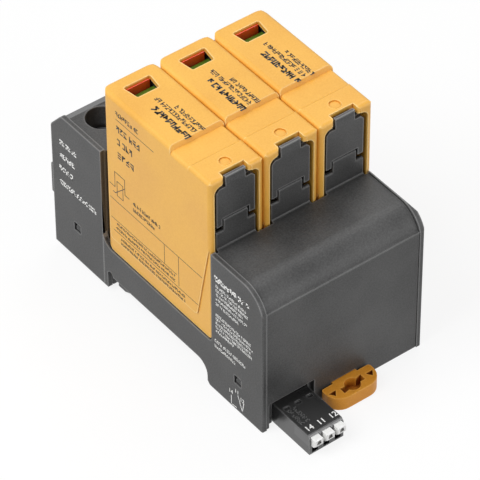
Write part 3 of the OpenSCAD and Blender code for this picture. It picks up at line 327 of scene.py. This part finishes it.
def rounder_cover(name, node):
    """Mesh of a module's cover with rounder rear corners. The square of side R in each rear corner becomes a
    quarter disc: with u across and v along, in shares of R from the arc's middle, u goes to u sqrt(1 - v^2 / 2) and
    v to v sqrt(1 - u^2 / 2). Planes first cut the square at sqrt(2) sin(a), for even steps of a from 0 to 45
    degrees, so that the arc gets even steps too."""
    (left, _, _), (right, rear, _) = low(node) * MM, high(node) * MM
    radius, middle = REAR_R * MM, (left + right) / 2
    start, half = rear - radius, (right - left) / 2 - radius
    shares = np.sqrt(2) * np.sin(np.radians(45) * np.arange(ARC_STEPS) / ARC_STEPS)
    skin = bmesh.new()
    skin.from_mesh(frame["nodes"][node].data)
    bmesh.ops.remove_doubles(skin, verts=skin.verts, dist=MERGE_MM * MM)
    cuts = [((0, start + share * radius, 0), (0, 1, 0)) for share in shares]
    cuts += [((middle + side * (half + share * radius), 0, 0), (1, 0, 0)) for side in (-1, 1) for share in shares]
    for place, normal in cuts:
        faces = [face for face in skin.faces if max(corner.co.y for corner in face.verts) > start]
        edges = dict.fromkeys(edge for face in faces for edge in face.edges)
        corners = dict.fromkeys(corner for face in faces for corner in face.verts)
        bmesh.ops.bisect_plane(skin, geom=[*corners, *edges, *faces], dist=ON_PLANE, plane_co=place,
                               plane_no=normal)
    mesh = bpy.data.meshes.new(name)
    skin.to_mesh(mesh)
    skin.free()
    points = np.empty(3 * len(mesh.vertices))
    mesh.vertices.foreach_get("co", points)
    points = points.reshape(-1, 3)
    across = points[:, 0] - middle
    u = np.clip(np.abs(across) - half, 0, None) / radius
    v = np.clip(points[:, 1] - start, 0, None) / radius
    points[:, 0] += np.sign(across) * radius * u * (np.sqrt(1 - v ** 2 / 2) - 1)
    points[:, 1] += radius * v * (np.sqrt(1 - u ** 2 / 2) - 1)
    mesh.vertices.foreach_set("co", points.ravel())
    mesh.update()
    return mesh


for n in POLES:
    name, node = f"module_{n}_cover", f"module_{n}_housing"
    cover = put_on(name, rounder_cover(name, node), FINISHES["module_plastic"], f"module_{n}")
    finish_edges(cover, "module_plastic", EDGE_MM["module_plastic"])
    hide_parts(node)


def ring_bead(middle, radius, tube):
    """Points and faces of a torus: one angle goes round the ring and the other round the bead."""
    around, across = 72, 12
    turn, wrap = np.meshgrid(2 * np.pi * np.arange(around) / around, 2 * np.pi * np.arange(across) / across,
                             indexing="ij")
    reach = radius + tube * np.cos(wrap)
    points = np.stack([reach * np.cos(turn), reach * np.sin(turn), tube * np.sin(wrap)], axis=-1)
    index = np.arange(around * across).reshape(around, across)
    ahead = np.roll(index, -1, axis=0)
    faces = np.stack([index, ahead, np.roll(ahead, -1, axis=1), np.roll(index, -1, axis=1)], axis=-1)
    return points.reshape(-1, 3) + middle, faces.reshape(-1, 4).tolist()


# In mm: how far the front ledge lies under a module's top and its mark behind the front face, and the mark's radius
# and the bead's
LEDGE_DROP, MARK_END, MARK_R, MARK_TUBE = 1.1, 5.0, 1.65, 0.13
for n in POLES:
    box_low, box_high = low(f"module_{n}_housing"), high(f"module_{n}_housing")
    mark = np.array([(box_low[0] + box_high[0]) / 2, box_low[1] + MARK_END, box_high[2] - LEDGE_DROP])
    bead = new_piece(f"module_{n}_mark_bead", *ring_bead(mark, MARK_R, MARK_TUBE), BEAD_FINISH,
                     f"module_{n}", "module_plastic")
    bead.data.shade_smooth()


# Printing

# How far the ink goes into the surface and stands over it, and the height of moulded relief, in mm
INK_SINK, INK_RISE, RELIEF_RISE = 0.01, 0.02, 0.12


def on_face(points, face):
    """Points (u, v, w) on a printed face: its origin, plus u across, v up and w out of it."""
    origin, across, up = (np.array(v, float) for v in face)
    return origin + points @ np.stack([across, up, np.cross(across, up)])


def strokes(a, b, width):
    """Outlines of straight strokes from a to b: each corner lies half a width along and beside the end."""
    a, b = np.atleast_2d(a).astype(float), np.atleast_2d(b).astype(float)
    along = (b - a) / np.linalg.norm(b - a, axis=1, keepdims=True) * width / 2
    side = np.stack([-along[:, 1], along[:, 0]], axis=1)
    return np.stack([a - along - side, b + along - side, b + along + side, a - along + side], axis=1)


def path(points, width):
    """Strokes along a row of points, from each one to the next."""
    points = np.array(points, float)
    return strokes(points[:-1], points[1:], width)


# Strokes that a glyph's cell can hold, each from one point to another, in shares of its width and height, and how
# many of them a glyph has
CELL = np.array([[(0, 0), (0, 1)], [(1, 0), (1, 0.7)], [(0, 1), (1, 1)], [(0, 0.5), (1, 0.5)], [(0, 0), (1, 0)],
                 [(0, 0.5), (1, 1)], [(0, 0.5), (1, 0)]])
GLYPH_STROKES = 3
# A line's fewest glyphs and their pitch in shares of its height, the share of glyphs that end a word, and the widths
# of a glyph, of the gap after it and of the gap after a word beside each other
FEWEST, PITCH, WORD_END = 3, 0.72, 0.16
GLYPH_W, GLYPH_GAP, WORD_GAP = 0.5, 0.42, 0.9
# Width of a stroke in shares of the type's height: plain, bold, and heavy
PLAIN, BOLD, HEAVY = 0.2, 0.26, 0.28


def type_line(start, end, height, weight=PLAIN):
    """Outlines of one line of unreadable type along u: glyph cells side by side, with a wider gap after each
    word. Every glyph is a random pick of three of the cell's strokes, so that no letter is meant."""
    length = end - start[0]
    count = max(FEWEST, int(round(length / (PITCH * height))))
    gaps = np.where(rng.random(count) < WORD_END, WORD_GAP, GLYPH_GAP)
    left = np.concatenate([[0], np.cumsum(GLYPH_W + gaps)[:-1]])
    unit = length / (left[-1] + GLYPH_W)
    size = np.array([GLYPH_W * unit, height * (1 - weight)])
    corner = np.stack([start[0] + unit * left, np.full(count, start[1] - size[1] / 2)], axis=1)
    pick = rng.random((count, len(CELL))).argsort(axis=1)[:, :GLYPH_STROKES]
    ends = corner[:, None, None] + CELL[pick] * size
    return strokes(ends[:, :, 0].reshape(-1, 2), ends[:, :, 1].reshape(-1, 2), weight * height)


def slabs(outlines, rise):
    """Points and faces of thin closed slabs: each outline under and over the surface, walled all round."""
    count = len(outlines)
    flat = np.concatenate([outlines, np.zeros((count, 4, 1))], axis=2)
    lift = np.array([[-INK_SINK], [rise]])[..., None] * np.array([0, 0, 1])
    points = (flat[:, None] + lift).reshape(-1, 3)
    ring = np.arange(4)
    ahead = (ring + 1) % 4
    walls = np.stack([ring, ahead, ahead + 4, ring + 4], axis=1)
    one = np.concatenate([[[3, 2, 1, 0], [4, 5, 6, 7]], walls])
    return points, (8 * np.arange(count)[:, None, None] + one).reshape(-1, 4).tolist()


# How much the figures are thickened, in shares of their size
FIGURE_SWELL = 0.012


def digits(text, middle, size):
    """Points and faces of a plain number, made a mesh and moved to its middle (u, v)."""
    curve = bpy.data.curves.new("digits", "FONT")
    curve.body, curve.size = text, size
    curve.align_x, curve.align_y = "CENTER", "CENTER"
    curve.extrude = (INK_SINK + INK_RISE) / 2
    curve.offset = FIGURE_SWELL * size
    holder = bpy.data.objects.new("digits", curve)
    bpy.context.scene.collection.objects.link(holder)
    mesh = bpy.data.meshes.new_from_object(holder.evaluated_get(bpy.context.evaluated_depsgraph_get()))
    bpy.data.objects.remove(holder)
    points = np.empty(3 * len(mesh.vertices))
    mesh.vertices.foreach_get("co", points)
    faces = [list(polygon.vertices) for polygon in mesh.polygons]
    return points.reshape(-1, 3) + [*middle, (INK_RISE - INK_SINK) / 2], faces


def printed(name, face, outlines, numbers, ink, body, slot, rise=INK_RISE):
    """One printed piece: its slabs and numbers on a face, riding on a body."""
    points, faces = slabs(np.concatenate(outlines), rise)
    for number in numbers:
        more, rings = digits(*number)
        faces += [[corner + len(points) for corner in ring] for ring in rings]
        points = np.concatenate([points, more])
    new_piece(name, on_face(points, face), faces, ink, body, slot)


# Prints, in mm on their faces. A line of type has its start (u, v), where it ends, its height and its weight, and a
# number has its figures, its middle and its size. The sides are read with u along -y and v along z.
SIDE_ACROSS, SIDE_UP = (0, -1, 0), (0, 0, 1)
RULE_W, SYMBOL_W, SKETCH_W = 0.18, 0.22, 0.28
SIDE_TYPE = [
    ((-17.3, 63.3), -7.8, 1.5),
    ((-17.1, 58.1), -7.3, 2.1),
    ((-16.9, 53.7), -10.7, 2.1),
    ((-16.8, 49.0), -10.2, 2.1),
    ((-10.6, 36.2), 1.1, 1.2),
    ((-10.6, 34.0), -1.4, 1.2),
    ((-18.2, 23.3), 7.4, 0.9),
    ((-18.7, 21.6), 7.4, 0.9),
    ((-16.6, 18.9), 11.7, 0.9),
    ((-16.6, 17.3), 11.7, 0.9),
]
SIDE_RULES = [
    [(-17.4, 61.2), (-1.0, 61.2)],
    [(-21.1, 31.5), (19.2, 31.5)],
    [(-20.8, 24.4), (8.1, 24.4)],
    [(-19.9, 20.3), (17.5, 20.3)],
    [(2.9, 24.4), (2.9, 31.5)],
    [(9.1, 21.0), (9.1, 31.5)],
]
# Plain sign of a varistor: its leads, its box and its bent stroke
SIDE_SYMBOL = [
    [(-21.1, 36.5), (-18.7, 36.5), (-18.7, 41.9), (-14.3, 41.9), (-14.3, 36.5), (-12.5, 36.5)],
    [(-17.8, 33.9), (-17.8, 39.0), (-15.2, 39.0), (-15.2, 33.9), (-17.8, 33.9)],
    [(-19.6, 34.4), (-18.6, 34.4), (-14.4, 38.6)],
]
TOP_TYPE = [
    ((-6.0, 2.7), 8.6, 2.0, BOLD),
    ((-5.2, -0.1), 11.4, 1.45),
    ((-6.0, -2.2), 5.5, 1.45),
]
BASE_TYPE = [
    ((25.2, 36.0), 39.3, 1.9, HEAVY),
    ((25.5, 33.4), 38.2, 0.95),
    ((25.5, 31.9), 39.0, 0.95),
    ((25.5, 30.4), 36.8, 0.95),
    ((25.5, 28.8), 38.6, 0.95),
    ((25.5, 27.0), 35.0, 0.95),
    ((25.4, 23.0), 40.2, 0.95),
    ((25.4, 21.5), 41.0, 0.95),
    ((25.4, 20.0), 40.0, 0.95),
    ((25.4, 18.6), 40.6, 0.95),
    ((25.4, 17.2), 33.0, 0.95),
    ((24.9, 13.3), 37.8, 1.1),
    ((24.9, 11.3), 33.5, 1.1),
    ((-43.6, 35.2), -36.4, 1.7, BOLD),
    ((-43.9, 30.4), -37.4, 1.7, BOLD),
    ((-44.2, 25.7), -38.4, 1.7, BOLD),
    ((-44.5, 20.5), -28.0, 1.7, BOLD),
]
# Plain sketch of the change-over contact beside its numbers
BASE_SKETCH = [
    [(31.8, -1.8), (31.9, -4.9), (34.1, -4.7)],
    [(34.7, 0.2), (36.6, -4.3), (37.2, -1.0)],
]
BASE_NUMBERS = [("14", (31.6, -0.4), 1.9), ("11", (34.2, 1.3), 1.9), ("12", (36.5, -0.3), 1.9)]
PLUG_NUMBERS = [("14", (-20.2, -56.5), 2.5), ("11", (-16.2, -56.5), 2.5), ("12", (-12.3, -56.5), 2.5)]
PLUG_TYPE = [((-54.2, 20.6), -48.2, 1.2), ((-54.2, 18.8), -48.2, 1.2)]
NO_STROKES = np.empty((0, 4, 2))

for n in POLES:
    box_low, box_high = low(f"module_{n}_housing"), high(f"module_{n}_housing")
    printed(f"module_{n}_side_print", ((box_low[0], 0, 0), SIDE_ACROSS, SIDE_UP),
            [*(type_line(*line) for line in SIDE_TYPE), *(path(rule, RULE_W) for rule in SIDE_RULES),
             *(path(sign, SYMBOL_W) for sign in SIDE_SYMBOL)],
            [], BLACK_INK, f"module_{n}", "module_plastic")
    # The top is read from the front to the rear: u runs along y and v along -x
    middle = (box_low[0] + box_high[0]) / 2
    printed(f"module_{n}_top_print", ((middle, 0, box_high[2]), (0, 1, 0), (-1, 0, 0)),
            [type_line(*line) for line in TOP_TYPE], [], BLACK_INK, f"module_{n}", "module_plastic")

printed("base_side_print", ((low("left_side_plate")[0], 0, 0), SIDE_ACROSS, SIDE_UP),
        [*(type_line(*line) for line in BASE_TYPE), *(path(sketch, SKETCH_W) for sketch in BASE_SKETCH)],
        BASE_NUMBERS, WHITE_INK, "base", "base_plastic")

# Top of the signal plug: plain contact numbers over the release buttons, and moulded relief behind them
plug_top = (0, 0, high("plug_body")[2])
printed("plug_print", (plug_top, (1, 0, 0), (0, 1, 0)), [NO_STROKES], PLUG_NUMBERS, WHITE_INK, "plug",
        "plug_plastic")
printed("plug_relief", (plug_top, (0, 1, 0), (-1, 0, 0)), [type_line(*line) for line in PLUG_TYPE], [],
        FINISHES["plug_plastic"], "plug", "plug_plastic", RELIEF_RISE)


# Stage, light and camera

# Camera of the photograph, in pixels of its 480 x 480 frame, degrees and mm: focal length, the pixel that the view
# ahead passes through, the turn of the picture's level, and where the camera stands and looks
IMAGE_PX, FOCAL_PX = 480.0, 3879.7
AIM_PX = (244.4, 206.6)
AZIMUTH_DEG, ROLL_DEG = -37.59, -0.22
CAMERA_MM = (-465.6, -607.55, 728.9)
AHEAD = (0.4498, 0.5843, -0.6755)
SENSOR_MM = 36.0


def place_camera():
    """Camera of the photograph: its axes point right, up and along the view. It is turned from the view ahead by
    as much as that view's pixel lies off the middle of the frame, so that it needs no shift."""
    azimuth, roll = np.radians(AZIMUTH_DEG), np.radians(ROLL_DEG)
    ahead = np.array(AHEAD)
    right = np.array([np.cos(azimuth), np.sin(azimuth), 0])
    up = np.cross(right, ahead)
    right, up = np.cos(roll) * right + np.sin(roll) * up, np.cos(roll) * up - np.sin(roll) * right
    ahead = ahead * FOCAL_PX + right * (IMAGE_PX / 2 - AIM_PX[0]) - up * (IMAGE_PX / 2 - AIM_PX[1])
    ahead /= np.linalg.norm(ahead)
    right -= ahead * (right @ ahead)
    right /= np.linalg.norm(right)
    lens = bpy.data.cameras.new("camera")
    lens.sensor_width, lens.lens = SENSOR_MM, SENSOR_MM * FOCAL_PX / IMAGE_PX
    lens.clip_start, lens.clip_end = 0.05, 20.0
    camera = bpy.data.objects.new("camera", lens)
    turn = np.eye(4)
    turn[:3, :3] = np.stack([right, np.cross(right, ahead), -ahead], axis=1)
    turn[:3, 3] = np.array(CAMERA_MM) * MM
    camera.matrix_world = Matrix(turn.tolist())
    bpy.context.scene.collection.objects.link(camera)
    bpy.context.scene.camera = camera


def soft_box(name, place, aim, size, power):
    """A square soft light at place, turned so that it points at aim, in metres and watts."""
    light = bpy.data.lights.new(name, "AREA")
    light.size, light.energy = size, power
    lamp = bpy.data.objects.new(name, light)
    back = np.array(place, float) - np.array(aim, float)
    back /= np.linalg.norm(back)
    right = np.cross([0, 0, 1], back)
    right /= np.linalg.norm(right)
    turn = np.eye(4)
    turn[:3, :3] = np.stack([right, np.cross(back, right), back], axis=1)
    turn[:3, 3] = place
    lamp.matrix_world = Matrix(turn.tolist())
    bpy.context.scene.collection.objects.link(lamp)


def seen(tree):
    """1 for rays from the camera, or off a glossy or through a clear surface, else 0."""
    ray = add(tree, "ShaderNodeLightPath").outputs
    first = add(tree, "ShaderNodeMath", {0: ray["Is Camera Ray"], 1: ray["Is Glossy Ray"]}, operation="MAXIMUM")
    return add(tree, "ShaderNodeMath", {0: first.outputs[0], 1: ray["Is Transmission Ray"]},
               operation="MAXIMUM").outputs[0]


# Half the floor's width in metres, and how far it lies under the part in mm
FLOOR_HALF, FLOOR_GAP_MM = 3.0, 0.05
# Paper as the light meets it and as the eye sees it, and how much of what is seen is plain white
PAPER_LIT, PAPER_SEEN, WHITE, WHITE_SHARE = "#c4c4c4", "#fafafa", "#ffffff", 0.85
# Strength of the sky's light
SKY_LIGHT = 0.28
# Soft boxes: place and width in metres, and power in watts; all point at the part's middle
LAMPS = {"key": ((-0.76, 0.12, 0.94), 0.8, 11.5), "top": ((0.5, 0.3, 1.05), 0.6, 2.8),
         "front": ((0.3, -1.05, 0.4), 0.7, 4.0)}
LAMP_AIM = (0, 0, 0.03)


def studio():
    """A white floor that glows to the eye and still takes the object's shadow, a white sky and soft boxes."""
    half, floor_z = FLOOR_HALF, CAD_BOX[0][2] - FLOOR_GAP_MM * MM
    mesh = bpy.data.meshes.new("floor")
    mesh.from_pydata([(-half, -half, floor_z), (half, -half, floor_z), (half, half, floor_z),
                      (-half, half, floor_z)], [], [(0, 1, 2, 3)])
    floor = bpy.data.objects.new("floor", mesh)
    bpy.context.scene.collection.objects.link(floor)
    material, tree = new_material("paper_white_floor")
    eye = seen(tree)
    shade = add(tree, "ShaderNodeMix", {MIX_FACTOR: eye, MIX_A: linear(PAPER_LIT), MIX_B: linear(PAPER_SEEN)},
                data_type="RGBA").outputs[MIX_OUT]
    paper = add(tree, "ShaderNodeBsdfDiffuse", {"Color": shade}).outputs[0]
    glow = add(tree, "ShaderNodeEmission", {"Color": linear(WHITE), "Strength": 1.0}).outputs[0]
    share = add(tree, "ShaderNodeMath", {0: eye, 1: WHITE_SHARE}, operation="MULTIPLY").outputs[0]
    mixed = add(tree, "ShaderNodeMixShader", {0: share, 1: paper, 2: glow}).outputs[0]
    add(tree, "ShaderNodeOutputMaterial", {"Surface": mixed})
    mesh.materials.append(material)

    world = bpy.data.worlds.new("studio")
    world.use_nodes = True
    tree = world.node_tree
    tree.nodes.clear()
    sky = add(tree, "ShaderNodeBackground", {"Color": linear(WHITE), "Strength": SKY_LIGHT}).outputs[0]
    white = add(tree, "ShaderNodeBackground", {"Color": linear(WHITE), "Strength": 1.0}).outputs[0]
    mixed = add(tree, "ShaderNodeMixShader", {0: seen(tree), 1: sky, 2: white}).outputs[0]
    add(tree, "ShaderNodeOutputWorld", {"Surface": mixed})
    bpy.context.scene.world = world

    for name, (place, size, power) in LAMPS.items():
        soft_box(name, place, LAMP_AIM, size, power)


place_camera()
studio()
bpy.context.scene.view_settings.view_transform = "Standard"
